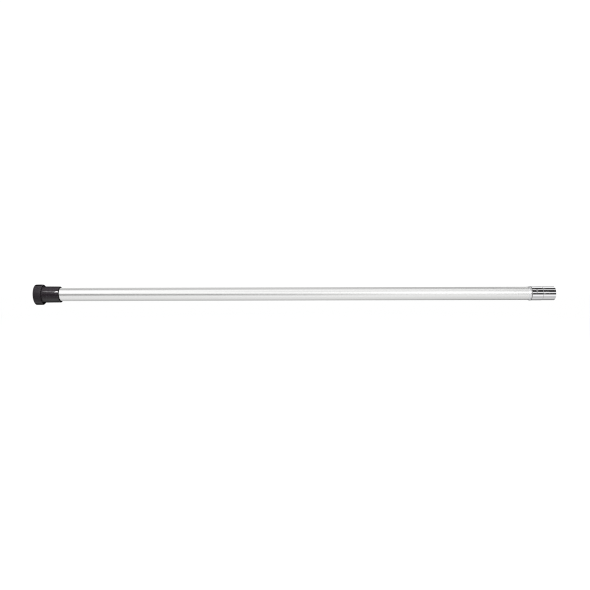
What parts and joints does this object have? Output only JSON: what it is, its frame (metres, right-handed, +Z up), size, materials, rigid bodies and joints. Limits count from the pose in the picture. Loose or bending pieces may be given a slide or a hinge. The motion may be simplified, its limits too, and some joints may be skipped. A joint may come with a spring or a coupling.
{
  "type": "roller extension pole",
  "caption": "Telescopic aluminium extension pole for a paint roller, with a rubber foot, chromed collar, threaded socket end and an internal eccentric-cam twist lock.",
  "frame": {"origin": "centre of the rubber foot's base face, on the pole's axis", "axes": "+X along the pole's axis from the foot towards the threaded socket; +Z up; the front rivet faces -Y and a little up"},
  "size_m": [0.9722, 0.0384, 0.0384],
  "materials": {
    "aluminium_tube": "satin, drawn and clear anodised, fine lengthwise lines",
    "black_rubber": "moulded, matt and slightly grainy on the head, semi-gloss on the sleeve",
    "band_rubber": "matt",
    "chrome_plate": "bright plated, mirror",
    "natural_nylon": "matt, natural off-white",
    "black_acetal": "moulded, semi-matt",
    "zinc_plated_steel": "bright zinc plated",
    "die_cast_zinc": "as cast, thread wiped bright"
  },
  "bodies": {
    "outer_section": {"outer_tube": "aluminium_tube", "rubber_foot": "black_rubber", "foot_washer": "zinc_plated_steel", "butt_plug": "black_acetal", "mouth_collar": "chrome_plate", "guide_bush": "natural_nylon", "collar_rivet_front": "zinc_plated_steel", "collar_rivet_back": "zinc_plated_steel"},
    "glide": {"glide_sleeve": "natural_nylon"},
    "inner_section": {"inner_tube": "aluminium_tube", "lock_plug": "black_acetal", "plug_pin": "zinc_plated_steel", "cam_spacer": "zinc_plated_steel", "end_washer": "zinc_plated_steel", "end_screw": "zinc_plated_steel", "threaded_socket": "die_cast_zinc", "tip_pin": "zinc_plated_steel", "tip_ferrule": "chrome_plate"},
    "upper_cam_body": {"upper_cam": "black_acetal", "upper_cam_band": "band_rubber"},
    "lower_cam_body": {"lower_cam": "black_acetal", "lower_cam_band": "band_rubber"}
  },
  "joints": [
    {"name": "pole_extension", "type": "slide", "parent": "outer_section", "child": "glide", "axis": [1, 0, 0], "range_m": [0, 0.79]},
    {"name": "lock_twist", "type": "hinge", "parent": "glide", "child": "inner_section", "pos_m": [0.09, 0, 0], "axis": [1, 0, 0], "range_deg": [-45, 45]},
    {"name": "upper_cam_swing", "type": "hinge", "parent": "inner_section", "child": "upper_cam_body", "pos_m": [0.0534, 0, 0.0009], "axis": [1, 0, 0], "range_deg": [-45, 45]},
    {"name": "lower_cam_swing", "type": "hinge", "parent": "inner_section", "child": "lower_cam_body", "pos_m": [0.0423, 0, -0.0009], "axis": [1, 0, 0], "range_deg": [-45, 45]}
  ],
  "couplings": [
    {"joint": "upper_cam_swing", "follows": "lock_twist", "ratio": -1},
    {"joint": "lower_cam_swing", "follows": "lock_twist", "ratio": -1}
  ]
}
